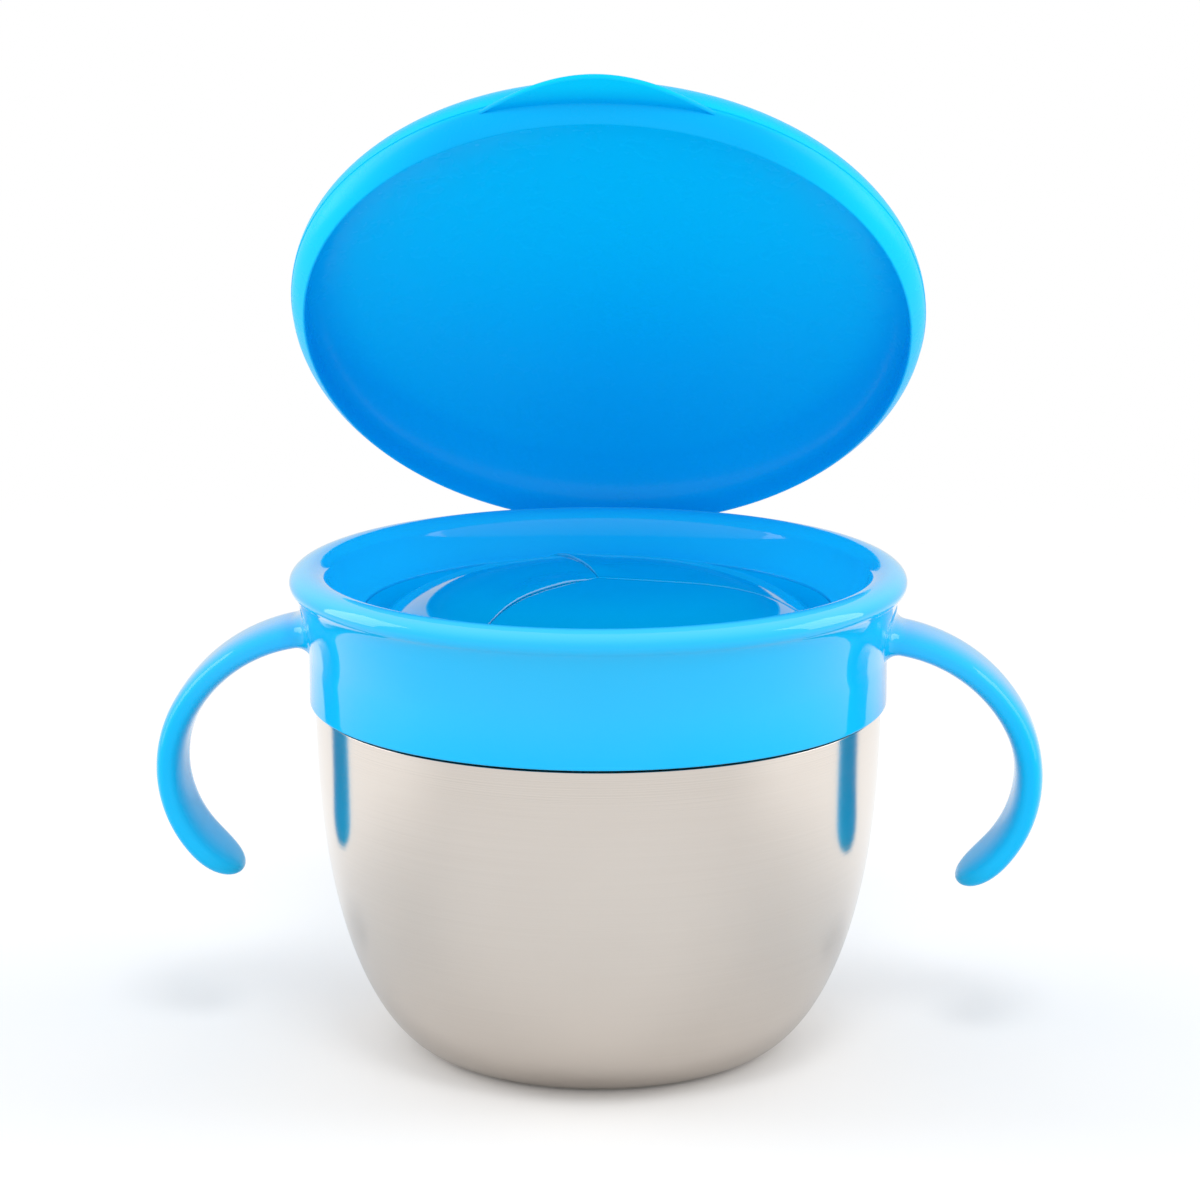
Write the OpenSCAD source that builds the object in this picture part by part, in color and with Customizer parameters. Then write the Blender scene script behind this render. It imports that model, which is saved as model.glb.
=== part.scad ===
// Toddler snack container: a steel bowl with a two-handled collar, three soft flaps and a hinged lid.
// Millimetres. The origin is the centre of the flat base, +Z is up, the handles lie along X
// and the lid's hinge is at the back, on +Y. The lid is drawn open.

/* [Bowl] */
// Radius of the flat base of the steel bowl
base_r = 25.4; // [22:0.1:30]
// Radius that the belly of the bowl grows towards
bowl_r = 43.9; // [40:0.1:48]
// Height of the shoulder, where the belly turns in to the neck
shoulder_h = 54.8; // [48:0.1:62]
// How far above the shoulder the belly would reach its full radius
belly_over = 5.2; // [4:0.1:8]
// Thickness of the steel sheet
steel_t = 0.7; // [0.5:0.05:1]
// Radius of the roll at the neck's top edge
roll_r = 0.7; // [0.5:0.05:0.8]
// Height of a rolled ring on the neck
ring_h = 0.45; // [0.3:0.05:0.5]

/* [Collar] */
// How far the collar's wall stands out past the bowl
collar_step = 0.9; // [0.5:0.1:2]
// Thickness of the collar's wall
collar_t = 1.8; // [1.4:0.1:2]
// Height of the collar from its lower edge to the crest of its rim
collar_h = 21.1; // [19:0.1:24]
// Height of the straight wall, below the flare
straight_h = 7; // [5:0.1:9]
// How far the rim stands out past the straight wall
rim_flare = 2.9; // [2.2:0.1:3.4]
// Half the width of the rounded lip, which is an ellipse in section
lip_w = 3.05; // [2.4:0.05:3.3]
// Half the height of the rounded lip
lip_h = 2.15; // [1.6:0.05:2.4]
// Width of the funnel, from the outside of the rim to the mouth
funnel_w = 11.3; // [10:0.1:12.6]
// Depth of the funnel below the crest
funnel_h = 6.5; // [5.9:0.1:7.1]
// Thickness of the funnel at the mouth
shelf_t = 1.8; // [1.4:0.1:2]
// Gap between the bowl's shoulder and the collar's lower edge
seat_gap = 0.3; // [0.2:0.05:0.5]
// Width of the seal ring
seal_w = 2.6; // [2:0.1:2.8]
// Height of the seal ring
seal_h = 2; // [1.5:0.1:2.5]

/* [Handles] */
// Height of the handle's root above the collar's lower edge
handle_z = 10.4; // [9:0.1:11]
// Slope of the handle where it leaves the collar, in degrees
handle_slope = 4; // [0:1:8]
// Bend radius of the upper part of the handle
bend_1_r = 25; // [22:0.1:27]
// Angle of the upper bend
bend_1_a = 57; // [50:1:62]
// Bend radius of the lower part of the handle
bend_2_r = 18.7; // [16:0.1:20]
// Angle of the lower bend, down to the tip
bend_2_a = 92; // [70:1:96]
// Width of the handle, front to back
handle_w = 14.6; // [12:0.1:16]
// Thickness of the handle
handle_t = 4.3; // [3.6:0.1:5.5]
// How far the handle's root spreads where it meets the collar
root_flare = 1.6; // [0:0.1:2]

/* [Flaps] */
// Width of the step between the mouth and the foot of the flap dome
moat_w = 2.6; // [2:0.1:3.4]
// Height of the dome above its foot
dome_h = 6.3; // [5:0.1:6.5]
// Drop from the mouth's edge to the foot of the dome
moat_h = 1.9; // [1.6:0.1:2.4]
// Thickness of the soft sheet
flap_t = 1.2; // [1:0.1:1.3]
// How far inside the foot of the dome the slits end
slit_in = 2.8; // [2.4:0.1:5]
// Width of a slit at the middle of the dome
slit_w = 0.6; // [0.5:0.05:0.8]
// Width of a slit at its outer end, where a bending flap comes closer to its neighbours
slit_end_w = 1.8; // [1.5:0.1:2.4]
// Direction of the first slit's outer end, in degrees from +X
slit_dir = 113; // [100:1:125]
// How far a slit turns on its way out, in degrees
slit_twist = 10; // [0:1:25]
// Radius of the cut at each corner of a flap, which lets its neighbours bend past it
corner_r = 6.2; // [5.6:0.1:7.5]
// Angle that a flap can be pulled up
flap_up = 15; // [5:1:20]

/* [Lid] */
// Angle at which the lid stands open
lid_open = 49.4; // [0:0.1:80]
// Thickness of the lid's side at its parting line, where it is widest
lid_side = 2.55; // [2.2:0.05:4]
// Gap between the closed lid's skirt and the rim
lid_gap = 0.4; // [0.3:0.05:0.6]
// Height of the lid's parting line above the rim's crest when it is closed
parting_h = 0.3; // [0.2:0.1:1.2]
// Height of the skirt below the parting line
skirt_h = 3.9; // [3.6:0.1:5]
// Height of the lid's dome above the parting line
lid_h = 12.8; // [9:0.1:16]
// Wall thickness of the lid
lid_t = 1.8; // [1.4:0.1:2.2]
// Half the width of the thumb tab
tab_half = 17.8; // [12:0.1:22]
// How far the thumb tab stands out
tab_l = 4.6; // [4:0.1:8]
// Thickness of the thumb tab
tab_t = 1.5; // [1:0.1:2.2]

/* [Hinge] */
// Distance of the hinge pin behind the rim
pin_back = 3.35; // [3.2:0.05:4.5]
// Distance of the hinge pin below the rim's crest
pin_drop = 13.25; // [12.3:0.05:13.9]
// Radius of the hinge pin
pin_r = 1.25; // [1:0.05:1.5]
// Width of the lid's hinge arm
arm_w = 16; // [12:0.5:20]
// Thickness of each ear on the collar
ear_t = 3; // [2:0.1:4]
// Outer radius of the knuckle and of the ears
knuckle_r = 2.9; // [2.6:0.05:3]
// Gap between the arm and each ear
side_gap = 0.3; // [0.2:0.05:0.5]
// Running clearance around the pin
pin_gap = 0.06; // [0.04:0.01:0.1]

/* [Hidden] */
$fn = 96;
steel = [0.80, 0.79, 0.77];
blue = [0.10, 0.66, 0.98];
deep_blue = [0.02, 0.58, 0.92];
silicone = [0.92, 0.94, 0.95];
// Small gap between pieces that are fitted together and don't move
fit_gap = 0.05;
// Depth to which a moulded-on feature enters the wall that it grows from
root_in = 1;
// Large enough to reach past any piece
far = 200;

function polar(r, a) = [r * cos(a), r * sin(a)];

// Bowl: the belly's profile is a flat base that swells in a power curve
belly_p = 2.58;
belly_q = 1.776;
belly_n = 20;
belly_h = shoulder_h + belly_over;
collar_r = bowl_r + collar_step;
inner_r = collar_r - collar_t;
neck_gap = 0.7;
neck_r = inner_r - neck_gap;
shoulder_r = 0.9;
// The neck's two rings, as shares of its height, and how far each is sunk into it
ring_at = [0.28, 0.6];
ring_sink = 0.1;
function belly_z(s) = belly_h * s * s;
function belly(s) = [
    base_r + (bowl_r - base_r) * pow(1 - pow(1 - s * s, belly_p), 1 / belly_q),
    belly_z(s)
];
function unit(v) = v / norm(v);
// Step to the side of the curve's own direction, towards the inside of the bowl
function inward(t) = [-unit(t)[1], unit(t)[0]];
belly_end = sqrt((shoulder_h - shoulder_r) / belly_h);
belly_step = belly_end / belly_n;
function belly_in(s) = belly(s) + steel_t * inward(belly(s + 0.001) - belly(max(s - 0.001, 0)));

// Collar: its lower edge stands just above the shoulder
collar_z = shoulder_h + seat_gap;
crest_z = collar_z + collar_h;
rim_r = collar_r + rim_flare;
lip_z = crest_z - lip_h;
lip_c = rim_r - lip_w;
mouth_r = rim_r - funnel_w;
mouth_z = crest_z - funnel_h;
shelf_z = mouth_z - shelf_t;
edge_r = 0.4;
// The land that the seal ring meets, and the neck's top edge below the ring
land_up = 0.5;
land_z = shelf_z + land_up;
seal_gap = 0.1;
seal_r = inner_r - 0.4;
neck_top = land_z - seal_gap - seal_h - seat_gap;
neck_h = neck_top - shoulder_h;
// The rib that goes down inside the seal ring and the neck
rib_gap = 0.4;
rib_w = 1.4;
rib_h = 3.9;
rib_r = seal_r - seal_w - rib_gap - rib_w;
rib_z = shelf_z - rib_h;
function bezier(a, b, c, t) = (1 - t) * (1 - t) * a + 2 * t * (1 - t) * b + t * t * c;
// The lip is an arc from where the flare meets it, over the crest, to the top of the funnel
lip_from = -53;
lip_to = 165;
function lip_at(a) = [lip_c + lip_w * cos(a), lip_z + lip_h * sin(a)];
flare_up = 3.5;
flare_z = collar_z + straight_h;
flare = [for (i = [0 : 7])
    bezier([collar_r, flare_z], [collar_r, flare_z + flare_up], lip_at(lip_from), i / 8)];
lip = [for (i = [0 : 14]) lip_at(lip_from + (lip_to - lip_from) * i / 14)];
// The point that bends the funnel, out from the mouth's edge and up
funnel_bend = [3.6, 0.4];
funnel_end = [mouth_r, mouth_z];
funnel = [for (i = [1 : 12]) bezier(lip_at(lip_to), funnel_end + funnel_bend, funnel_end, i / 12)];

// Handles: two tangent bends, in the plane of X and Z; s is the distance along them from the wall
root_dip = 0.3;
root_x = collar_r - root_dip;
root_z = collar_z + handle_z;
bend_1_from = 90 - handle_slope;
bend_1_to = bend_1_from - bend_1_a;
bend_1_c = [root_x, root_z] - polar(bend_1_r, bend_1_from);
bend_2_c = bend_1_c + polar(bend_1_r - bend_2_r, bend_1_to);
len_1 = bend_1_r * bend_1_a * PI / 180;
handle_l = len_1 + bend_2_r * bend_2_a * PI / 180;
function along(s) = s < len_1
    ? [bend_1_c, bend_1_r, bend_1_from - s / bend_1_r * 180 / PI]
    : [bend_2_c, bend_2_r, bend_1_to - (s - len_1) / bend_2_r * 180 / PI];
// The root spreads over its first few millimetres, and the tip is round
flare_l = 4;
tip_l = handle_w * 0.42;
function flare_at(s) = root_flare * pow(max(0, 1 - s / flare_l), 2);
function tip_at(s) = max(0, (s - handle_l + tip_l) / tip_l);
function half_w(s) = (handle_w / 2 + 1.5 * flare_at(s)) * pow(1 - pow(tip_at(s), 2.2), 0.5);
function half_t(s) = (handle_t / 2 + flare_at(s)) * pow(1 - pow(tip_at(s), 5), 0.5);
section_n = 20;
section_p = 2 / 2.8;
function power(v, p) = sign(v) * pow(abs(v), p);
function handle_ring(s) = let (at = along(s)) [for (i = [0 : section_n - 1])
    let (a = 360 * i / section_n, out = at[0] + polar(at[1] + half_t(s) * power(cos(a), section_p), at[2]))
    [out[0], half_w(s) * power(sin(a), section_p), out[1]]];
handle_at = concat(
    [for (i = [0 : 6]) -root_in + (root_in + flare_l) * i / 6],
    [for (i = [1 : 22]) flare_l + (handle_l - tip_l - flare_l) * i / 22],
    [for (i = [1 : 9]) handle_l - tip_l + tip_l * sin(9.6 * i)]
);

// Flaps: a thin dome in the collar's mouth, cut by three slits
dome_r = mouth_r - moat_w;
dome_z = mouth_z - moat_h;
dome_p = 4.3;
dome_n = 30;
function dome_at(r) = dome_z + dome_h * (1 - pow(r / dome_r, dome_p));
function dome_slope(r) = -dome_h * dome_p / dome_r * pow(r / dome_r, dome_p - 1);
function dome_under(r) = let (slope = dome_slope(r)) [r, dome_at(r)] + flap_t * unit([slope, -1]);
// Each flap bends about the chord between the ends of its two slits, just under its own cut corners
slit_r = dome_r - slit_in;
chord_d = slit_r * cos(60);
hinge_r = norm([chord_d, slit_r * sin(60) - corner_r]);
chord_z = dome_at(hinge_r) - flap_t * norm([1, dome_slope(hinge_r)]);
chord_gap = 0.3;
relief_r = 0.9;
slit_n = 8;
function slit_angle(k) = slit_dir + 120 * k;
function slit_point(k, r, side) =
    polar(r, slit_angle(k) - slit_twist * (1 - r / slit_r)) + polar(side, slit_angle(k) + 90);
// One edge of a slit: side is 1 or -1, and the edge is drawn from the middle of the dome outwards
function slit_line(k, side) = [for (i = [0 : slit_n])
    let (share = i / slit_n)
    slit_point(k, slit_w + (slit_r - slit_w) * share, side * (slit_w + (slit_end_w - slit_w) * share) / 2)];

// Lid: drawn closed, then turned about the hinge pin
hinge_y = rim_r + pin_back;
hinge_z = crest_z - pin_drop;
parting_z = crest_z + parting_h;
skirt_z = parting_z - skirt_h;
lid_in_r = rim_r + lid_gap;
lid_r = lid_in_r + lid_side;
lid_edge = 0.15;
// The skirt's side bulges from its thin lower edge out to the parting line
skirt_r = lid_in_r + 2 * lid_edge;
skirt_n = 6;
function skirt_at(s) = [lid_r - (lid_r - skirt_r) * s * s, parting_z - skirt_h * s];
// Outside and inside are quarters of two superellipses, and the inner one starts lower
lid_p = 2.4;
lid_in_p = 2.2;
lid_in_drop = 1.3;
lid_n = 24;
function quarter(r, z, h, p, t) = [r * pow(cos(t), 2 / p), z + h * pow(sin(t), 2 / p)];
tab_drop = 0.1;
tab_z = parting_z - tab_drop - tab_t;
// Depth to which the tab enters the lid's side
tab_root = 1.6;
tab_p = 1.2;
tab_n = 24;
function tab_out(x) = sqrt(lid_r * lid_r - x * x) + tab_l * pow(1 - pow(x / tab_half, 2), tab_p);
ear_x = arm_w / 2 + side_gap;
// How much higher and lower an ear is at the wall than at the pin
ear_spread = 1.3;
// Half the thickness of the arm, and its distance from the edges of the skirt that it joins
arm_half = 1.7;
arm_edge = 0.6;

function reversed(list) = [for (i = [len(list) - 1 : -1 : 0]) list[i]];

module ring_bead(r, z, bead) {
    translate([0, 0, z]) rotate_extrude() translate([r, 0]) circle(bead, $fn = 32);
}

// The bowl's base, belly and shoulder; the neck is the same sheet of steel
module steel_bowl() {
    outside = [for (i = [0 : belly_n]) belly(belly_step * i)];
    inside = [for (i = [0 : belly_n]) belly_in(belly_step * i)];
    color(steel) rotate_extrude() polygon(concat(
        [[0, 0]], outside,
        [[outside[belly_n][0] - 0.5 * shoulder_r, shoulder_h], [neck_r, shoulder_h]],
        [[neck_r, shoulder_h - steel_t]],
        reversed(inside), [[0, steel_t]]
    ));
}

// The bowl's neck, with two rolled rings and a rolled edge
module bowl_neck() {
    foot_z = shoulder_h - steel_t;
    color(steel) {
        translate([0, 0, foot_z]) difference() {
            cylinder(h = neck_top - roll_r - foot_z, r = neck_r);
            translate([0, 0, -1]) cylinder(h = far, r = neck_r - steel_t);
        }
        ring_bead(neck_r - steel_t / 2, neck_top - roll_r, roll_r);
        for (part = ring_at) ring_bead(neck_r - ring_sink, shoulder_h + part * neck_h, ring_h);
    }
}

// Soft ring between the neck's rolled edge and the collar's land
module seal_ring() {
    z = neck_top + seat_gap;
    color(silicone) translate([0, 0, z]) difference() {
        cylinder(h = land_z - seal_gap - z, r = seal_r);
        translate([0, 0, -1]) cylinder(h = far, r = seal_r - seal_w);
    }
}

// Moulded collar: wall, flare, rounded lip, funnel, and the rib that enters the neck
module collar() {
    color(blue) rotate_extrude() polygon(concat(
        [[inner_r, collar_z], [collar_r - edge_r, collar_z], [collar_r, collar_z + edge_r]],
        flare, lip, funnel,
        [[mouth_r, shelf_z], [rib_r, shelf_z], [rib_r, rib_z], [rib_r + rib_w, rib_z]],
        [[rib_r + rib_w, land_z], [inner_r, land_z]]
    ));
}

// A plate in the plane of Y and Z, drawn from x = 0 towards +X, with a round end about the pin and a bore
module pivot_plate(outline, width, bore) {
    rotate([90, 0, 90]) difference() {
        union() {
            translate([hinge_y, hinge_z]) cylinder(h = width, r = knuckle_r);
            linear_extrude(width) polygon(outline);
        }
        translate([hinge_y, hinge_z, -1]) cylinder(h = width + 2, r = bore);
    }
}

// Two ears behind the collar that hold the pin
module hinge_bracket() {
    root_y = sqrt(pow(collar_r - root_in, 2) - pow(ear_x + ear_t, 2));
    outline = [
        [root_y, hinge_z - knuckle_r - ear_spread], [hinge_y, hinge_z - knuckle_r],
        [hinge_y, hinge_z + knuckle_r], [root_y, hinge_z + knuckle_r + ear_spread]
    ];
    color(blue) for (x = [ear_x, -ear_x - ear_t])
        translate([x, 0, 0]) pivot_plate(outline, ear_t, pin_r + fit_gap / 2);
}

module hinge_pin() {
    half = ear_x + ear_t;
    color(steel) translate([-half, hinge_y, hinge_z]) rotate([0, 90, 0]) cylinder(h = 2 * half, r = pin_r);
}

// One open handle on +X, a flat bar with round edges; its root enters the collar's wall
module handle() {
    rings = len(handle_at);
    polyhedron(
        points = [for (s = handle_at) each handle_ring(s)],
        faces = concat(
            [[for (i = [section_n - 1 : -1 : 0]) i]],
            [for (j = [0 : rings - 2], i = [0 : section_n - 1])
                let (a = j * section_n + i, b = j * section_n + (i + 1) % section_n) [a, b, b + section_n]],
            [for (j = [0 : rings - 2], i = [0 : section_n - 1])
                let (a = j * section_n + i, b = j * section_n + (i + 1) % section_n)
                [a, b + section_n, a + section_n]],
            [[for (i = [0 : section_n - 1]) (rings - 1) * section_n + i]]
        )
    );
}

module right_handle() {
    color(blue) handle();
}

module left_handle() {
    color(blue) mirror([1, 0, 0]) handle();
}

// The whole soft dome before it is cut: nearly flat in the middle, and steep at its foot
module dome_shell() {
    radii = [for (i = [0 : dome_n]) dome_r * sin(90 * i / dome_n)];
    rotate_extrude() polygon(concat(
        [for (r = radii) [r, dome_at(r)]], reversed([for (r = radii) dome_under(r)])
    ));
}

// Everything on the inner side of a chord, leaning out at the top by an angle
module inside_chord(k, lean) {
    rotate([0, 0, slit_angle(k) + 60]) translate([chord_d, 0, chord_z]) rotate([0, lean, 0])
        translate([-far, -far / 2, -far / 2]) cube(far);
}

// A round cut at the outer end of a slit
module slit_hole(k, r) {
    translate([each polar(slit_r, slit_angle(k)), 0]) cylinder(h = far, r = r);
}

// Soft ring that grips the collar's mouth, with the three corners that the flaps hang from
module flap_ring() {
    grip_z = shelf_z - fit_gap;
    color(deep_blue) {
        rotate_extrude() polygon([
            [dome_r - 1, grip_z - flap_t], [rib_r - fit_gap, grip_z - flap_t], [rib_r - fit_gap, grip_z],
            [mouth_r - fit_gap, grip_z], [mouth_r - fit_gap, mouth_z - 0.3], [dome_r, dome_z],
            [dome_r - 0.6, dome_z]
        ]);
        difference() {
            dome_shell();
            intersection_for (k = [0 : 2]) inside_chord(k, 0);
            for (k = [0 : 2]) intersection() {
                inside_chord(k, flap_up + 1);
                rotate([0, 0, slit_angle(k) + 60]) translate([chord_d, -far / 2, chord_z]) cube(far);
            }
            for (k = [0 : 2]) slit_hole(k, relief_r);
        }
    }
}

// One flap: the dome between two slits, on the inner side of its chord
module flap(k) {
    color(deep_blue) difference() {
        intersection() {
            dome_shell();
            linear_extrude(far) polygon(concat(slit_line(k, 1), reversed(slit_line(k + 1, -1))));
        }
        rotate([0, 0, slit_angle(k) + 60]) translate([chord_d - chord_gap, -far / 2, 0]) cube(far);
        for (j = [k, k + 1]) slit_hole(j, corner_r);
    }
}

module left_flap() { flap(0); }
module front_flap() { flap(1); }
module right_flap() { flap(2); }

// Turns a closed lid piece to where the lid stands open
module opened() {
    translate([0, hinge_y, hinge_z]) rotate([-lid_open, 0, 0]) translate([0, -hinge_y, -hinge_z]) children();
}

// Lid moulding: a bulging skirt that goes down over the rim, and a shallow dome
module lid() {
    side = [for (i = [skirt_n : -1 : 1]) skirt_at(i / skirt_n)];
    outside = [for (i = [0 : lid_n]) quarter(lid_r, parting_z, lid_h, lid_p, 90 * i / lid_n)];
    hollow_h = lid_h - lid_t + lid_in_drop;
    inside = [for (i = [0 : lid_n])
        quarter(lid_in_r, parting_z - lid_in_drop, hollow_h, lid_in_p, 90 * i / lid_n)];
    color(blue) opened() rotate_extrude() polygon(concat(
        [[lid_in_r, skirt_z + 2 * lid_edge], [lid_in_r + lid_edge, skirt_z]],
        side, outside, reversed(inside)
    ));
}

// Thumb tab: a thin lip with a bell-shaped outline at the lid's free end
module thumb_tab() {
    xs = [for (i = [0 : tab_n]) tab_half * (2 * i / tab_n - 1)];
    root_y = sqrt(pow(lid_r - tab_root, 2) - tab_half * tab_half);
    color(blue) opened() translate([0, 0, tab_z]) linear_extrude(tab_t) difference() {
        polygon(concat([[tab_half, -root_y], [-tab_half, -root_y]], [for (x = xs) [x, -tab_out(x)]]));
        circle(lid_r - tab_root);
    }
}

// Arm that joins the lid's skirt to the pin
module hinge_arm() {
    outline = [
        [hinge_y - arm_half, hinge_z], [hinge_y - arm_half, skirt_z + arm_edge],
        [lid_r - root_in, parting_z - arm_edge], [lid_r + root_in, parting_z - arm_half],
        [hinge_y + arm_half, skirt_z - arm_half], [hinge_y + arm_half, hinge_z]
    ];
    color(blue) opened() translate([-arm_w / 2, 0, 0]) pivot_plate(outline, arm_w, pin_r + pin_gap);
}

steel_bowl();
bowl_neck();
seal_ring();
collar();
hinge_bracket();
hinge_pin();
left_handle();
right_handle();
flap_ring();
left_flap();
front_flap();
right_flap();
lid();
thumb_tab();
hinge_arm();
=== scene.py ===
import bmesh
import bpy
import numpy as np
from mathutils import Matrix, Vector


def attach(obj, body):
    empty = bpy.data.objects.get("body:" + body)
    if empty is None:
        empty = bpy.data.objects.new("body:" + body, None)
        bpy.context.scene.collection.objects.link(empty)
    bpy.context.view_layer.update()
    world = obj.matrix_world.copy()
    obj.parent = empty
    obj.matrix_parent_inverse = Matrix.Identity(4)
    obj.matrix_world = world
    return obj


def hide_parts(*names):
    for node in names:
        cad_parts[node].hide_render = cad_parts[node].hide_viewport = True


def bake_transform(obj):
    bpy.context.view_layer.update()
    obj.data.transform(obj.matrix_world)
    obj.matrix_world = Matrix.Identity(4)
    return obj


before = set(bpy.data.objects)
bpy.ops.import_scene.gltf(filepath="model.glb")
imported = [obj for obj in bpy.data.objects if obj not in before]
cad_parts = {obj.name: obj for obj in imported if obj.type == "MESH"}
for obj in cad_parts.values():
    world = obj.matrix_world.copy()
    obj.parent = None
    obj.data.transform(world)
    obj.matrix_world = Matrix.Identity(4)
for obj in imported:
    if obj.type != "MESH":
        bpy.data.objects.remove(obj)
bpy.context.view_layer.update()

mm = 0.001

# Bowl: one sheet of stainless steel, drawn deep and brushed round, which turns in at the shoulder
# to a neck. The thread is rolled into the neck, and the neck's edge is rolled over.
base_r, bowl_r, belly_h, shoulder_h = 25.4, 43.9, 60.0, 54.6
steel_t, roll_r, base_recess = 0.7, 0.7, 0.4
neck_r, neck_top = 42.3, 66.0
thread_from, thread_pitch, thread_turns = 56.9, 4.2, 1.55
thread_out, thread_half = 0.34, 0.85


def smooth(x, start, end):
    """0 up to start and 1 after end, with a cubic ease between them."""
    t = np.clip((x - start) / (end - start), 0, 1)
    return t * t * (3 - 2 * t)


def rounded(*parts, step=0.7):
    """A line through parts, each a corner (r, z, cut) or a curve's own points (r, z).

    A corner becomes a curve that leaves one straight part `cut` before it and joins the next one
    `cut` after it. Straight parts are divided about every `step` millimetres."""
    rows = [np.atleast_2d(np.array(part, float)) for part in parts]
    rows = [np.pad(row, ((0, 0), (0, 3 - row.shape[1]))) for row in rows]
    point, cut = np.split(np.concatenate(rows), [2], axis=1)
    ahead = np.diff(point, axis=0)
    ahead /= np.linalg.norm(ahead, axis=1, keepdims=True)
    t = np.linspace(0, 1, 9)[:, None]
    line = [point[:1]]
    for k in range(1, len(point) - 1):
        before, after = point[k] - cut[k] * ahead[k - 1], point[k] + cut[k] * ahead[k]
        curve = (1 - t) ** 2 * before + 2 * t * (1 - t) * point[k] + t * t * after
        line.append(curve if cut[k] > 0 else point[k:k + 1])
    line = np.concatenate(line + [point[-1:]])
    parts_in = np.maximum(np.ceil(np.linalg.norm(np.diff(line, axis=0), axis=1) / step), 1)
    place = np.concatenate([[0], np.cumsum(parts_in)])
    return np.stack([np.interp(np.arange(place[-1] + 1), place, line[:, k]) for k in (0, 1)], 1)


def beside(line, distance):
    """The line moved to its own left by distance: each point steps along the turned tangent."""
    along = np.gradient(line, axis=0)
    left = np.stack([-along[:, 1], along[:, 0]], 1)
    return line + distance * left / np.linalg.norm(left, axis=1, keepdims=True)


def turned(line, columns=192):
    """Each point (r, z) carried round the Z axis: (r cos a, r sin a, z) at even angles a."""
    a = np.linspace(0, 2 * np.pi, columns, endpoint=False)
    r, z = line[:, :1], line[:, 1:]
    return np.stack([r * np.cos(a), r * np.sin(a), z + 0 * a], -1)


def thread(points, out, centre_z):
    """Radius added by a helical bead: a cosine ridge about a height that climbs with the angle."""
    a = np.arctan2(points[..., 1], points[..., 0]) % (2 * np.pi)
    ridge = 0
    for turn in (0, 1):
        turns = a / (2 * np.pi) + turn
        off = (points[..., 2] - centre_z - thread_pitch * turns) / thread_half
        ends = smooth(turns, 0, 0.12) * (1 - smooth(turns, thread_turns - 0.12, thread_turns))
        ridge = ridge + np.where(abs(off) < 1, (1 + np.cos(np.pi * off)) / 2, 0) * ends
    r = np.linalg.norm(points[..., :2], axis=-1, keepdims=True)
    moved = points.copy()
    moved[..., :2] *= 1 + out * ridge[..., None] / np.maximum(r, 1)
    return moved


def skin(name, *grids):
    """A mesh from grids of points (rows, columns, 3) in millimetres, each closed across its columns.

    Rows that shrink to a point close as poles, and rows that meet are merged."""
    points, faces, first = [], [], 0
    for grid in grids:
        rows, cols = grid.shape[:2]
        i, j = np.arange(rows - 1)[:, None], np.arange(cols)[None, :]
        right = (j + 1) % cols
        corner = [i * cols + j, i * cols + right, (i + 1) * cols + right, (i + 1) * cols + j]
        faces.append(first + np.stack(corner, -1).reshape(-1, 4))
        points.append(grid.reshape(-1, 3) * mm)
        first += rows * cols
    mesh = bpy.data.meshes.new(name)
    mesh.from_pydata(np.concatenate(points).tolist(), [], np.concatenate(faces).tolist())
    work = bmesh.new()
    work.from_mesh(mesh)
    bmesh.ops.remove_doubles(work, verts=work.verts, dist=1e-6)
    bmesh.ops.recalc_face_normals(work, faces=work.faces)
    work.to_mesh(mesh)
    work.free()
    mesh.shade_smooth()
    piece = bpy.data.objects.new(name, mesh)
    bpy.context.scene.collection.objects.link(piece)
    return piece


class Value:
    """An output of a node, so that shader maths is written as Python sums."""

    def __init__(self, recipe, socket):
        self.recipe, self.socket = recipe, socket

    def maths(self, operation, first, second):
        return self.recipe.node("Math", {"operation": operation}, {0: first, 1: second})

    def __add__(self, other):
        return self.maths("ADD", self, other)

    def __sub__(self, other):
        return self.maths("SUBTRACT", self, other)

    def __rsub__(self, other):
        return self.maths("SUBTRACT", other, self)

    def __mul__(self, other):
        return self.maths("MULTIPLY", self, other)

    def above(self, other):
        return self.maths("MAXIMUM", self, other)

    __radd__, __rmul__ = __add__, __mul__


class Recipe:
    """A node tree, with one method that adds any node and one that feeds a node's sockets."""

    def __init__(self, tree):
        self.tree = tree

    def feed(self, node, values):
        for key, value in values.items():
            if isinstance(key, int):
                socket = node.inputs[key]
            else:
                socket = next(s for s in node.inputs if s.enabled and s.name == key)
            if isinstance(value, Value):
                self.tree.links.new(value.socket, socket)
            else:
                socket.default_value = value

    def node(self, kind, settings={}, values={}, output=None):
        node = self.tree.nodes.new("ShaderNode" + kind)
        for key, value in settings.items():
            setattr(node, key, value)
        self.feed(node, values)
        outputs = [s for s in node.outputs if s.enabled and output in (None, s.name)]
        return Value(self, outputs[0]) if outputs else None

    def place(self, x=1, y=1, z=1):
        """The object's own coordinates, in metres, times a factor along each axis."""
        where = self.node("TexCoord", output="Object")
        return self.node("VectorMath", {"operation": "MULTIPLY"}, {0: where, 1: (x, y, z)})

    def noise(self, where, scale, detail=2):
        values = {"Vector": where, "Scale": scale, "Detail": detail}
        return self.node("TexNoise", {}, values, output="Fac")

    def blend(self, share, first, second):
        """One colour turning to another by a share from 0 to 1."""
        values = {"Factor": share, "A": (*first, 1), "B": (*second, 1)}
        return self.node("Mix", {"data_type": "RGBA"}, values)

    def ease(self, value, start, end):
        """0 at start and 1 at end, with a cubic ease between them."""
        values = {"Value": value, "From Min": start, "From Max": end}
        return self.node("MapRange", {"interpolation_type": "SMOOTHSTEP"}, values)

    def relief(self, height, distance, strength=1):
        values = {"Height": height, "Distance": distance, "Strength": strength}
        return self.node("Bump", {}, values)


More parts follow.
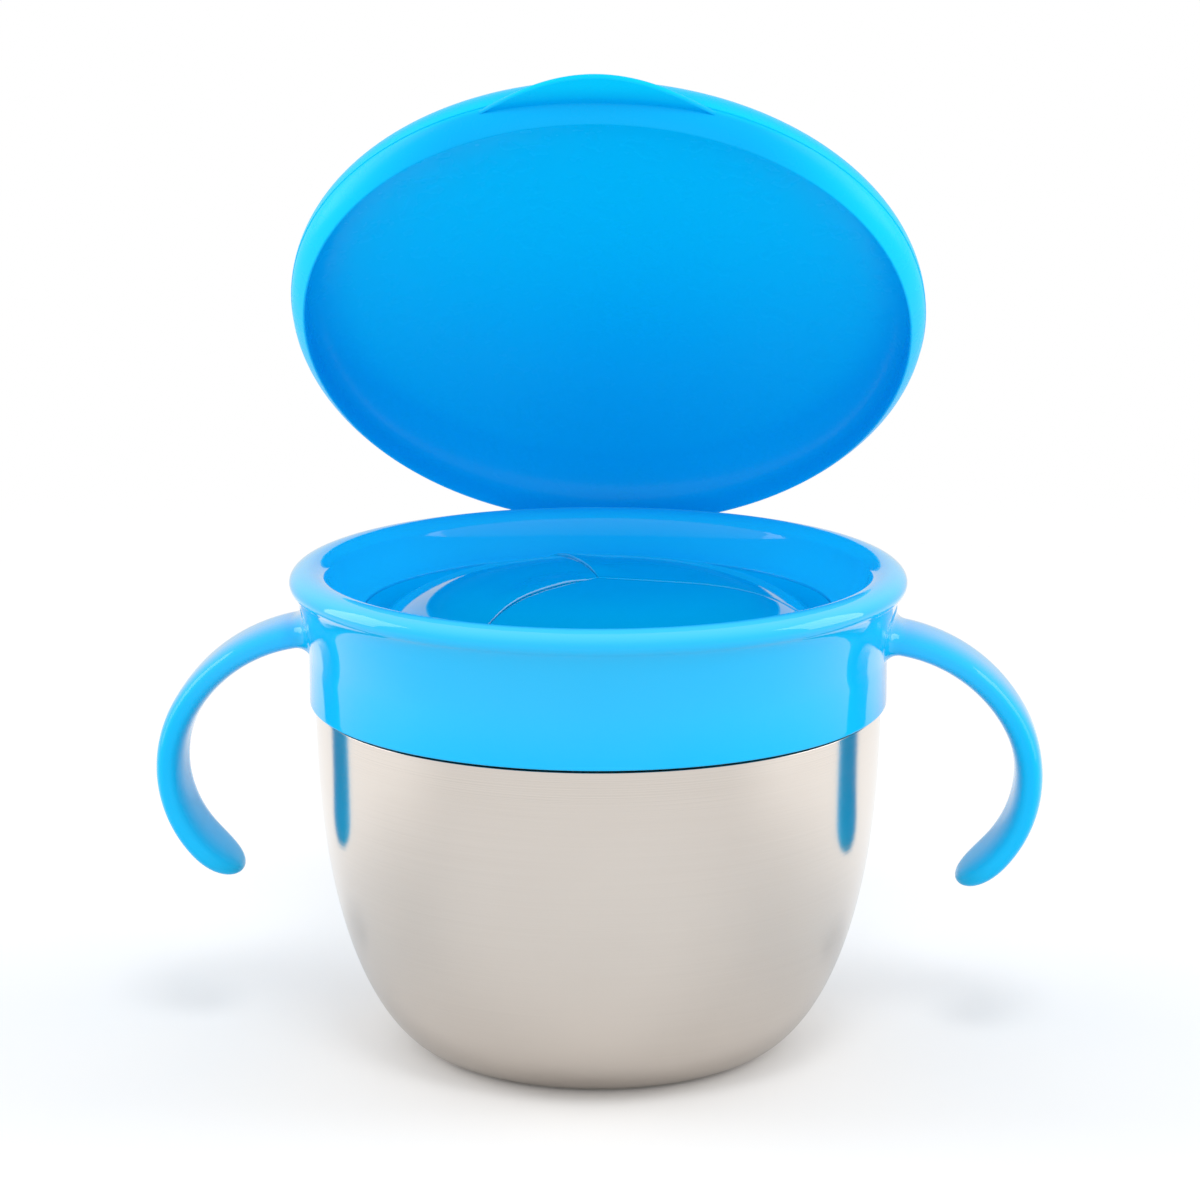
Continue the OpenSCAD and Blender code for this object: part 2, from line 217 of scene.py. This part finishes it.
def finish(name, **constants):
    """A material, its node tree's recipe and its shader, with constants on the shader's sockets."""
    material = bpy.data.materials.new(name)
    material.use_nodes = True
    recipe = Recipe(material.node_tree)
    shader = material.node_tree.nodes["Principled BSDF"]
    recipe.feed(shader, {key.replace("_", " "): value for key, value in constants.items()})
    return material, recipe, shader


def paint(material, *pieces):
    """Gives pieces their material."""
    for piece in pieces:
        piece.data.materials.clear()
        piece.data.materials.append(material)


base_line = np.linspace(0, base_r, 16)[:-1]
base_line = np.stack([base_line, base_recess * (1 - smooth(base_line, 16, 21))], 1)
belly_z = belly_h * np.linspace(0, np.sqrt((shoulder_h - 0.4) / belly_h), 84) ** 2
belly_share = (1 - (1 - belly_z / belly_h) ** 2.58) ** (1 / 1.776)
belly_line = np.stack([base_r + (bowl_r - base_r) * belly_share, belly_z], 1)
neck_line = rounded(belly_line[-1], (belly_line[-1, 0] + 0.01, shoulder_h, 0.1),
                    (neck_r, shoulder_h, 0.5), (neck_r, neck_top - 1.3), step=0.25)
sheet_line = np.concatenate([base_line, belly_line, neck_line[1:]])
roll = np.radians(np.linspace(-60, 240, 21))
roll_line = np.stack([neck_r - steel_t / 2 + roll_r * np.cos(roll), neck_top - roll_r + roll_r * np.sin(roll)], 1)
bowl_line = np.concatenate([sheet_line, roll_line, beside(sheet_line, steel_t)[::-1]])
bowl_line[[0, -1], 0] = 0
bowl = skin("bowl", thread(turned(bowl_line), thread_out, thread_from))

steel, made, shader = finish("brushed_steel", Metallic=1.0)
radius = made.node("VectorMath", {"operation": "LENGTH"}, {0: made.place(1, 1, 0)}, "Value")
height = made.node("SeparateXYZ", {}, {0: made.place()}, "Z")
across = made.node("CombineXYZ", {}, {"Z": (radius + height) * 5200})
lines = made.node("VectorMath", {"operation": "ADD"}, {0: made.place(26, 26, 0), 1: across})
grain = made.noise(lines, 1, 3)
cloud = made.noise(made.place(), 38)
made.feed(shader, {
    "Base Color": made.blend(grain * 0.55 + cloud * 0.45, (0.73, 0.665, 0.605), (0.85, 0.785, 0.72)),
    "Roughness": 0.09 + 0.05 * grain + 0.04 * cloud,
    "Normal": made.relief(grain, 0.00002, 0.5),
})
paint(steel, bowl)
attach(bowl, "bowl")
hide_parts("steel_bowl", "bowl_neck")

# Seal ring: a ring of milky silicone that the collar squeezes on to the neck's rolled edge.
# It is moulded with a groove in its bore, so that it gives.
seal_in, seal_out, seal_z, seal_top = 40.0, 42.6, 66.3, 68.3
seal_mid = (seal_z + seal_top) / 2
seal_line = rounded((41.3, seal_z), (seal_out, seal_z, 0.5), (seal_out, seal_top, 0.5),
                    (seal_in, seal_top, 0.4), (seal_in, seal_mid + 0.35, 0.2), (seal_in + 0.4, seal_mid, 0.2),
                    (seal_in, seal_mid - 0.35, 0.2), (seal_in, seal_z, 0.4), (41.3, seal_z), step=0.3)
seal = skin("seal_ring_silicone", turned(seal_line))
silicone, made, shader = finish("milky_silicone", Coat_Weight=0.1)
cloud = made.noise(made.place(), 90, 4)
made.feed(shader, {
    "Base Color": made.blend(cloud, (0.84, 0.86, 0.88), (0.92, 0.93, 0.93)),
    "Roughness": 0.34 + 0.12 * cloud,
    "Normal": made.relief(made.noise(made.place(), 900), 0.00003, 0.4),
})
paint(silicone, seal)
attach(seal, "seal")
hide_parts("seal_ring")

# Collar: one glossy moulding that screws on the bowl. Its wall flares to a thick rounded lip, and a
# funnel goes down from the lip to the mouth. A thin rib under the funnel enters the neck.
wall_r, bore_r, collar_z, flare_z = 44.8, 43.0, 55.1, 62.1
lip_c, lip_z, lip_w, lip_h = 44.65, 74.05, 3.05, 2.15
mouth_r, mouth_z, shelf_z, land_z = 36.4, 69.7, 67.9, 68.4
rib_in, rib_out, rib_z = 38.2, 39.6, 64.0


def curve(first, bend, last, count):
    """Points on the curve that leaves first towards bend and arrives at last from bend."""
    t = np.linspace(0, 1, count)[:, None]
    first, bend, last = np.array(first), np.array(bend), np.array(last)
    return (1 - t) ** 2 * first + 2 * t * (1 - t) * bend + t * t * last


lip = np.radians(np.linspace(-53, 165, 40))
lip_line = np.stack([lip_c + lip_w * np.cos(lip), lip_z + lip_h * np.sin(lip)], 1)
flare_line = curve((wall_r, flare_z), (wall_r, flare_z + 3.5), lip_line[0], 22)
under_lip = curve(flare_line[-5], lip_line[0], lip_line[4], 10)
funnel_line = curve(lip_line[-1], (mouth_r + 3.6, mouth_z + 0.4), (mouth_r, mouth_z), 34)
collar_line = rounded((43.7, collar_z), (wall_r, collar_z, 0.4), flare_line[:-5], under_lip, lip_line[5:],
                      funnel_line[1:-2],
                      (mouth_r, mouth_z, 0.3), (mouth_r, shelf_z, 0.15), (rib_in, shelf_z, 0.15),
                      (rib_in, rib_z, 0.4), (rib_out, rib_z, 0.4), (rib_out, land_z, 0.2),
                      (bore_r, land_z, 0.3), (bore_r, collar_z, 0.3), (43.7, collar_z))
collar_grid = turned(collar_line)
in_bore = (abs(collar_line[:, 0] - bore_r) < 0.01)[:, None, None]
collar_grid = np.where(in_bore, thread(collar_grid, -0.22, thread_from), collar_grid)
collar = skin("collar_moulding", collar_grid)

gloss_blue, made, shader = finish("glossy_blue_plastic", Specular_IOR_Level=0.08, Coat_Roughness=0.02)
cloud = made.noise(made.place(), 30)
high = made.node("SeparateXYZ", {}, {0: made.place()}, "Z")
radius = made.node("VectorMath", {"operation": "LENGTH"}, {0: made.place(1, 1, 0)}, "Value")
# The lip's top is painted paler than the wall below it: a painted highlight where the light from above falls on it.
# The cloud is the moulding's own uneven tone.
lip_top_painted_light = made.ease(high, 0.0743, 0.0759) * made.ease(radius, 0.0435, 0.0455)
made.feed(shader, {
    "Base Color": made.blend(0.2 * cloud + 0.6 * lip_top_painted_light, (0.0, 0.49, 0.94), (0.08, 0.64, 1.0)),
    "Roughness": 0.07 + 0.04 * made.noise(made.place(), 160),
    "Coat Weight": 0.1 + 0.7 * made.ease(high, 0.05, 0.066) * made.ease(radius, 0.0405, 0.0425),
    "Normal": made.relief(made.noise(made.place(), 150, 1), 0.0002, 0.35),
})
paint(gloss_blue, collar)
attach(collar, "collar")
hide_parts("collar")

# Handles: two open bars of the collar's moulding, flat with round edges, that leave the flare with
# a soft fillet, bend down in two arcs and end in a round tip.
handle_x, handle_z, bend_1_r, bend_2_r = 44.5, 65.5, 25.0, 18.7
bend_from, bend_mid, bend_to = np.radians([86, 29, -65.5])
handle_w, handle_t, root_fillet, tip_l = 14.6, 4.3, 2.6, 8.0
section_power = 2 / 2.8
bend_1_l = bend_1_r * (bend_from - bend_mid)
handle_l = bend_1_l + bend_2_r * (bend_mid - bend_to)
bend_1_c = np.array([handle_x, handle_z]) - bend_1_r * np.array([np.cos(bend_from), np.sin(bend_from)])
bend_2_c = bend_1_c + (bend_1_r - bend_2_r) * np.array([np.cos(bend_mid), np.sin(bend_mid)])


def handle_grid():
    """A superellipse section carried along two arcs: its half sizes grow by a quarter circle at the
    root and shrink to a point at the tip, and near the root it is pushed on to the collar's wall."""
    fillet = np.radians(np.linspace(0, 90, 18))
    tip = np.radians(np.linspace(0, 90, 22))
    s = np.concatenate([[-1.2, -0.6], root_fillet * (1 - np.cos(fillet)),
                        np.linspace(root_fillet, handle_l - tip_l, 90)[1:],
                        handle_l - tip_l + tip_l * np.sin(tip[1:])])[:, None]
    first = s < bend_1_l
    bend_r = np.where(first, bend_1_r, bend_2_r)
    angle = np.where(first, bend_from - s / bend_1_r, bend_mid - (s - bend_1_l) / bend_2_r)
    centre = np.where(first[..., None], bend_1_c, bend_2_c)
    grow = root_fillet - np.sqrt(np.clip(root_fillet**2 - np.clip(root_fillet - s, 0, root_fillet) ** 2, 0, None))
    t = np.clip((s - handle_l + tip_l) / tip_l, 0, 1)
    half_w = (handle_w / 2 + grow) * np.sqrt(1 - t**2.2)
    half_t = (handle_t / 2 + grow) * np.sqrt(1 - t**3)
    a = np.linspace(0, 2 * np.pi, 72, endpoint=False)
    out = half_t * np.sign(np.cos(a)) * abs(np.cos(a)) ** section_power
    y = half_w * np.sign(np.sin(a)) * abs(np.sin(a)) ** section_power
    x = centre[..., 0] + (bend_r + out) * np.cos(angle)
    z = centre[..., 1] + (bend_r + out) * np.sin(angle)
    wall = np.interp(z, [flare_z, *flare_line[:, 1]], [wall_r, *flare_line[:, 0]])
    wall = np.sqrt(wall**2 - y**2)
    x = x + (wall - 0.1 - handle_x) * (1 - smooth(s, 0, 8))
    grid = np.stack([x, y, z], -1)
    root = grid[:1].mean(axis=1, keepdims=True) + 0 * grid[:1]
    return np.concatenate([root, grid])


right_handle = skin("right_handle_bar", handle_grid())
left_handle = skin("left_handle_bar", handle_grid() * (-1, 1, 1))
paint(gloss_blue, right_handle, left_handle)
for handle, node in ((right_handle, "right_handle"), (left_handle, "left_handle")):
    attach(handle, "collar")
    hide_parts(node)

# Hinge ears: two rounded plates of the collar's moulding that stand out from its back wall and
# hold the ends of the pin.
hinge_y, hinge_z, pin_r, knuckle_r = 51.05, 62.95, 1.25, 2.9
ear_in, ear_out, ear_root, ear_spread = 8.3, 11.3, 42.3, 1.3


def plate(shape, x_from, x_to, bore, edge=0.35):
    """A plate in the plane of Y and Z from x_from to x_to, with a bore for the pin: its rows go from
    the bore over one face, round the rounded edge of the closed line `shape`, and back."""
    along = np.roll(shape, -1, 0) - np.roll(shape, 1, 0)
    outward = np.stack([along[:, 1], -along[:, 0]], 1) / np.linalg.norm(along, axis=1, keepdims=True)
    hole = shape / np.linalg.norm(shape, axis=1, keepdims=True)
    t = np.linspace(0, np.pi / 2, 6)
    inset = edge * (1 - np.sin(t))
    inset = np.concatenate([inset, inset[::-1]])
    x = x_from + edge * (1 - np.cos(t))
    x = np.concatenate([x, x_to + x_from - x[::-1]])
    hole_r = bore + np.array([0.2, 0, 0, 0.2])
    hole_x = np.array([x_from, x_from + 0.2, x_to - 0.2, x_to])
    faces = [shape - d * outward for d in inset]
    bores = [hole * r for r in hole_r]
    rows = np.array([*bores[1::-1], *faces, *bores[:1:-1], bores[1]])
    xs = np.concatenate([hole_x[1::-1], x, hole_x[:1:-1], hole_x[1:2]])
    grid = np.concatenate([np.broadcast_to(xs[:, None, None], (*rows.shape[:2], 1)), rows], -1)
    return grid + (0, hinge_y, hinge_z)


arc = np.radians(np.linspace(-90, 90, 25))
knuckle = knuckle_r * np.stack([np.cos(arc), np.sin(arc)], 1)
ear_back = ear_root - hinge_y
ear_line = rounded((ear_back, 0), (ear_back, -knuckle_r - ear_spread, 0.3), knuckle,
                   (ear_back, knuckle_r + ear_spread, 0.3), (ear_back, 0))[:-1]
ears = skin("hinge_ears", plate(ear_line, ear_in, ear_out, pin_r), plate(ear_line, -ear_out, -ear_in, pin_r))
paint(gloss_blue, ears)
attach(ears, "collar")
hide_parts("hinge_bracket")

# Hinge pin: a ground steel rod with chamfered ends, pressed through both ears.
pin_line = rounded((0, -ear_out + 0.1), (pin_r, -ear_out + 0.1, 0.25), (pin_r, ear_out - 0.1, 0.25),
                   (0, ear_out - 0.1))
pin = skin("hinge_pin_rod", turned(pin_line, 64)[..., [2, 0, 1]] + (0, hinge_y, hinge_z))
ground, made, shader = finish("ground_steel", Metallic=1.0)
rings = made.noise(made.place(5000, 300, 300), 1)
made.feed(shader, {
    "Base Color": made.blend(rings, (0.58, 0.58, 0.58), (0.70, 0.70, 0.69)),
    "Roughness": 0.22 + 0.12 * rings,
    "Normal": made.relief(rings, 0.00001, 0.4),
})
paint(ground, pin)
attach(pin, "collar")
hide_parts("hinge_pin")

# Flap insert: one soft moulding that grips the collar's mouth. A narrow step runs down from the mouth
# to the foot of a thin dome, and three slits from the dome's middle cut it into three flaps.
dome_r, dome_z, dome_h, dome_power, sheet_t = 33.8, 67.8, 6.3, 4.3, 1.2
slit_r, slit_gap, slit_turn, edge_r = 31.0, 0.06, 12.0, 0.26
slits_at = {"flap_left": (113, 237), "flap_front": (237, 355), "flap_right": (355, 473)}
flap_middle = {"flap_left": 173, "flap_front": 293, "flap_right": 53}
lift_at = {"flap_left": (0, 0.45), "flap_front": (0, 0), "flap_right": (0.1, 0.45)}


def dome(r):
    """Height of the dome: nearly flat in the middle, and steep at its foot by a high power of r."""
    return dome_z + dome_h * (1 - (r / dome_r) ** dome_power)


foot = dome_r - 0.12
ring_line = rounded((34.0, 66.65), (38.15, 66.65, 0.3), (38.15, 67.85, 0.1), (36.35, 67.85, 0.1),
                    (36.35, 69.4, 0.3), (34.3, 68.1, 0.5), (foot - 0.2, 67.75, 0.2), (32.6, 67.4, 0.2),
                    (32.8, 66.65, 0.2), (34.0, 66.65), step=0.3)
flap_ring = skin("flap_ring_grip", turned(ring_line))


def flap_grid(start, end, lifts):
    """A third of the dome as a closed sheet: each row is a radius, and its columns go over the top
    from one slit to the next, round the cut edge, back below and up the other edge.

    A slit's direction turns back towards the middle, and the edges at both slits stand up by lifts."""
    r = np.concatenate([slit_gap / 2 / np.sin(np.pi / 3) + 6 * np.linspace(0, 1, 20) ** 2,
                        np.linspace(6.2, slit_r - 0.5, 64), np.linspace(slit_r - 0.3, foot, 14)])[:, None]
    way = 1 - np.clip(r / slit_r, 0, 1)
    turned_back = np.radians(slit_turn * way**1.2)
    span = np.radians(end - start) + np.radians(120 - end + start) * way**3
    gap = slit_gap / 2 * (1 - smooth(r, slit_r - 0.8, slit_r))
    painted_skirt_band = np.arcsin(np.clip(gap / r, 0, np.sin(np.pi / 3)))
    width = r * (span - 2 * painted_skirt_band)
    turn = np.linspace(0, np.pi / 2, 7)
    soft = edge_r * (1 - smooth(r, slit_r - 1.2, slit_r)) + 1e-4
    edge = np.minimum(soft * (1 - np.sin(turn)) / np.maximum(width, 1e-6), 0.49)
    over = edge[:, :1] + (1 - 2 * edge[:, :1]) * np.linspace(0, 1, 81)
    share = np.concatenate([over, 1 - edge[:, 1:], 1 - edge[:, ::-1], over[:, -2::-1], edge[:, 1:], edge[:, :0:-1]], 1)
    drop = soft * (1 - np.cos(turn))
    flat = np.zeros((len(r), 81))
    deep = np.concatenate([flat, drop[:, 1:], sheet_t - drop[:, ::-1], flat[:, 1:] + sheet_t,
                           sheet_t - drop[:, 1:], drop[:, :0:-1]], 1)
    a = np.radians(start) - turned_back + painted_skirt_band + share * (span - 2 * painted_skirt_band)
    near = lifts[0] * np.exp(-((share * width / 5) ** 2)) + lifts[1] * np.exp(-(((1 - share) * width / 5) ** 2))
    reach = smooth(r, 0.5, 7.0) * (1 - smooth(r, 17.0, slit_r))
    slope = -dome_h * dome_power / dome_r * (r / dome_r) ** (dome_power - 1)
    length = np.sqrt(1 + slope**2)
    out_r = r + deep * slope / length
    return np.stack([out_r * np.cos(a), out_r * np.sin(a), dome(r) + near * reach - deep / length], -1)


soft_blue, made, shader = finish("soft_blue_rubber", IOR=1.45, Coat_Weight=0.5, Coat_Roughness=0.02)
cloud = made.noise(made.place(), 45, 3)
high = made.node("SeparateXYZ", {}, {0: made.place()}, "Z")
# The blue is painted paler low down, in the step by the mouth and on the dome's steep outer part: painted light that
# lifts the shade there and stands in for the highlight on the dome's flank.
made.feed(shader, {
    "Base Color": made.blend(0.2 * cloud + 0.8 * made.ease(high, 0.072, 0.069), (0.0, 0.29, 0.62), (0.0, 0.45, 0.88)),
    "Roughness": 0.04 + 0.04 * cloud,
    "Normal": made.relief(made.noise(made.place(), 120, 1), 0.00012, 0.35),
})
paint(soft_blue, flap_ring)
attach(flap_ring, "collar")
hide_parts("flap_ring")
for body, (start, end) in slits_at.items():
    grid = flap_grid(start, end, lift_at[body])
    tip, rim = (grid[[k]].mean(axis=1, keepdims=True) + 0 * grid[:1] for k in (0, -1))
    flap = skin(body + "_sheet", np.concatenate([tip, grid]))
    paint(soft_blue, flap)
    middle = np.radians(flap_middle[body])
    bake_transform(flap)
    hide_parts(body.split("_")[1] + "_flap")

# Lid: one satin moulding, drawn closed and then swung open about the pin. A skirt goes down over
# the collar's lip, and above its parting line the lid is a shallow dome.
lid_in, lid_out, lid_t, skirt_r = 47.95, 50.65, 1.8, 48.4
parting_z, skirt_z, lid_h, lid_power = 76.5, 72.45, 12.8, 2.4
hollow_drop, hollow_power, parting_step = 1.3, 2.2, 0.1
lid_open = np.radians(-49.4)


def opened(points):
    """Points turned about the hinge pin's axis by the angle at which the lid stands open."""
    y, z = points[..., 1] - hinge_y, points[..., 2] - hinge_z
    return np.stack([points[..., 0], hinge_y + y * np.cos(lid_open) - z * np.sin(lid_open),
                     hinge_z + y * np.sin(lid_open) + z * np.cos(lid_open)], -1)


def quarter(r, z, h, power, count=72):
    """A quarter of a superellipse, from the widest line at height z up to its middle."""
    t = np.linspace(0, np.pi / 2, count)
    return np.stack([r * np.cos(t) ** (2 / power), z + h * np.sin(t) ** (2 / power)], 1)


hollow = quarter(lid_in, parting_z - hollow_drop, lid_h - lid_t + hollow_drop, hollow_power)[::-1]
s = np.linspace(0.95, 0.03, 14)
side_r = lid_out - parting_step
lid_side = np.stack([side_r - (side_r - skirt_r) * s**2, parting_z - (parting_z - skirt_z) * s], 1)
lid_line = rounded(hollow, (lid_in, skirt_z + 0.8, 0.5), (lid_in + 0.16, skirt_z, 0.12), (skirt_r, skirt_z, 0.14),
                   lid_side,
                   (side_r, parting_z, 0.03), quarter(lid_out, parting_z, lid_h, lid_power), step=0.5)
lid_line[[0, -1], 0] = 0
lid = skin("lid_moulding", opened(turned(lid_line)))

satin_blue, made, shader = finish("satin_blue_plastic", Specular_IOR_Level=0.1)
cloud = made.noise(made.place(), 22)
high = made.node("SeparateXYZ", {}, {0: made.place()}, "Z")
axis = (0, np.sin(-lid_open), np.cos(lid_open))
to_edge = made.node("VectorMath", {"operation": "DOT_PRODUCT"}, {0: made.place(), 1: axis}, "Value")
edge_z = (skirt_z - hinge_z + hinge_y * axis[1] + hinge_z * axis[2]) * mm
middle = opened(np.array([0, 0, parting_z])) * mm
from_middle = made.node("VectorMath", {"operation": "SUBTRACT"}, {0: made.place(), 1: middle})
across = made.node("VectorMath", {"operation": "CROSS_PRODUCT"}, {0: from_middle, 1: axis})
radius = made.node("VectorMath", {"operation": "LENGTH"}, {0: across}, "Value")
outside = made.ease(radius, 0.0481, 0.0485)
painted_skirt_band = made.ease(to_edge, edge_z + 0.0045, edge_z + 0.003) * outside * made.ease(radius, 0.054, 0.0505)
painted_sheen_at_sides = made.ease(made.node("Math", {"operation": "ABSOLUTE"},
                           {0: made.node("SeparateXYZ", {}, {0: made.place()}, "X")}), 0.02, 0.05)
# The blue is painted: paler the higher it stands (painted light in the hollow), deeper inside the hollow near its rim
# (painted shade), and on the skirt's outside deeper in the middle and paler at both sides (painted shade and painted
# highlights). The dome's outside keeps one even blue, and the cloud is the plastic's own uneven tone.
painted_light_and_shade = 0.1 * cloud + 0.85 * made.ease(high, 0.078, 0.135) + painted_skirt_band * (1.05 * painted_sheen_at_sides - 0.75)
painted_light_and_shade = painted_light_and_shade - 0.4 * made.ease(radius, 0.04, 0.048) * (1 - outside)
facing = {0: made.node("TexCoord", output="Normal"), 1: axis}
top = made.ease(made.node("VectorMath", {"operation": "DOT_PRODUCT"}, facing, "Value"), 0, 0.3)
painted_light_and_shade = painted_light_and_shade * (1 - top) + 0.7 * top
made.feed(shader, {
    "Base Color": made.blend(painted_light_and_shade, (0.0, 0.39, 0.86), (0.0, 0.62, 1.0)),
    "Roughness": 0.24 + 0.06 * made.noise(made.place(), 300),
    "Normal": made.relief(made.noise(made.place(), 1800), 0.00003, 0.3),
})
paint(satin_blue, lid)
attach(lid, "lid")
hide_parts("lid")

# Thumb tab: a thin lip of the lid's moulding at its free end, with a bell-shaped outline. Its top is
# level with the parting line, and it thickens from its edge to its root.
tab_half, tab_l, tab_top, tab_t, tab_root, tab_power, tab_draft = 17.8, 4.6, 76.4, 0.95, 1.6, 1.2, 0.16


def tab_grid():
    """A flat loop of points in each plane of constant x: out below, round the lip, and back above.
    Its length is tab_l (1 - (x / tab_half) ^ 2) ^ tab_power, from the lid's side, and its underside
    falls by tab_draft for each millimetre inwards from the lip."""
    x = tab_half * np.sin(np.radians(np.linspace(-90, 90, 73)))[:, None]
    reach = tab_l * np.clip(1 - (x / tab_half) ** 2, 0, None) ** tab_power
    r = tab_t / 2
    run = np.linspace(0, 1, 16)
    turn = np.radians(np.linspace(-90, 90, 13)[1:-1])
    length = reach - r + tab_root
    out = np.concatenate([length * run, length + r * np.cos(turn), length * run[::-1]], 1)
    below = -r - tab_draft * length * (1 - run) + 0.35 * (1 - smooth(length * run - tab_root, -0.7, 0.8))
    up = np.concatenate([below, r * np.sin(turn) + 0 * x, r + 0 * below], 1)
    y = -(np.sqrt(lid_out**2 - x**2) - tab_root + out)
    return np.stack([x + 0 * out, y, tab_top - r + up], -1)


grid = tab_grid()
ends = [grid[[k]].mean(axis=1, keepdims=True) + 0 * grid[:1] for k in (0, -1)]
tab = skin("thumb_tab_lip", opened(np.concatenate([ends[0], grid, ends[1]])))
paint(satin_blue, tab)
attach(tab, "lid")
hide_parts("thumb_tab")

# Hinge arm: a plate of the lid's moulding that comes down from the skirt to a knuckle on the pin.
arm_half_w, arm_half, arm_bore = 8.0, 1.7, 1.31
arc = np.radians(np.linspace(-210, 30, 49))
knuckle = knuckle_r * np.stack([np.cos(arc), np.sin(arc)], 1)
arm_line = rounded((0.3, parting_z - 0.9 - hinge_z), (-1.0, parting_z - 0.6 - hinge_z, 0.5),
                   (-arm_half, skirt_z + 0.6 - hinge_z, 0.8), (-arm_half, 3.2, 0.8), knuckle[1:-1],
                   (arm_half, 3.2, 0.8), (arm_half, skirt_z - arm_half - hinge_z, 1.5),
                   (1.0, parting_z - arm_half - hinge_z, 0.4), (0.3, parting_z - 0.9 - hinge_z))[:-1]
arm = skin("hinge_arm_plate", opened(plate(arm_line, -arm_half_w, arm_half_w, arm_bore)))
paint(satin_blue, arm)
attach(arm, "lid")
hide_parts("hinge_arm")

# Studio: a white floor that fades into a white surround, one large soft lamp in front and one above.
floor = skin("floor", turned(np.array([[0, 0], [60, 0], [150, 0], [400, 0], [1500, 0]]), 96))
white = bpy.data.materials.new("white_floor")
white.use_nodes = True
white.node_tree.nodes.clear()
made = Recipe(white.node_tree)
distance = made.node("VectorMath", {"operation": "LENGTH"}, {0: made.place()}, "Value")
fade = made.ease(distance, 0.16, 0.5)
seen = made.node("LightPath", output="Is Camera Ray")
# To the camera, and far to the sides and behind, the floor is white. Other rays find it grey near the object and in
# front of it: painted shade that stands in for the object's shadow, seen in the steel's reflection and in the light
# the floor gives back.
to_side = made.node("Math", {"operation": "ABSOLUTE"}, {0: made.node("SeparateXYZ", {}, {0: made.place()}, "X")})
to_back = made.node("SeparateXYZ", {}, {0: made.place()}, "Y")
beyond_painted_shade = made.ease(to_side + to_back, 0.02, 0.2)
matt = made.node("BsdfDiffuse", {}, {"Color": made.blend(seen.above(beyond_painted_shade), (0.72, 0.72, 0.72), (0.95, 0.95, 0.95))})
clear = made.node("BsdfTransparent")
made.node("OutputMaterial", {}, {"Surface": made.node("MixShader", {}, {0: fade, 1: matt, 2: clear})})
paint(white, floor)

ambient = 0.8
world = bpy.data.worlds.new("surround")
world.use_nodes = True
bpy.context.scene.world = world
made = Recipe(world.node_tree)
seen = made.node("LightPath", output="Is Camera Ray").above(made.node("LightPath", output="Is Transmission Ray"))
made.feed(world.node_tree.nodes["Background"], {"Color": (1, 1, 1, 1), "Strength": ambient + (1 - ambient) * seen})


def softbox(name, place, width, height, watts):
    """A rectangular lamp that looks at the middle of the object."""
    lamp = bpy.data.lights.new(name, "AREA")
    lamp.shape, lamp.size, lamp.size_y, lamp.energy = "RECTANGLE", width, height, watts
    box = bpy.data.objects.new(name, lamp)
    box.location = place
    box.rotation_euler = (Vector((0, 0, 0.07)) - Vector(place)).to_track_quat("-Z", "Y").to_euler()
    box.visible_camera = False
    bpy.context.scene.collection.objects.link(box)
    return box


softbox("front_softbox", (0.0, -1.3, 0.22), 1.6, 0.42, 4.2).visible_glossy = False
softbox("top_softbox", (0.1, -0.5, 1.1), 0.3, 0.3, 2.0).visible_glossy = False
softbox("left_softbox", (-1.0, 0.15, 0.4), 0.6, 0.9, 4.0)
softbox("right_softbox", (1.0, 0.15, 0.4), 0.6, 0.9, 4.0)

# Camera: it stands 600 mm from the object, 12.64 degrees above it and 3.1 degrees to its right.
pitch, turn = np.radians(12.64), np.radians(3.1)
aim = np.array([0.27, 0, 70.49])
back = np.array([np.cos(pitch) * np.sin(turn), -np.cos(pitch) * np.cos(turn), np.sin(pitch)])
lens = bpy.data.cameras.new("camera")
lens.lens, lens.sensor_width, lens.clip_start = 116.2, 36, 0.01
camera = bpy.data.objects.new("camera", lens)
camera.location = (aim + 600 * back) * mm
camera.rotation_euler = Vector(-back).to_track_quat("-Z", "Y").to_euler()
bpy.context.scene.collection.objects.link(camera)
bpy.context.scene.camera = camera
bpy.context.scene.view_settings.view_transform = "Standard"
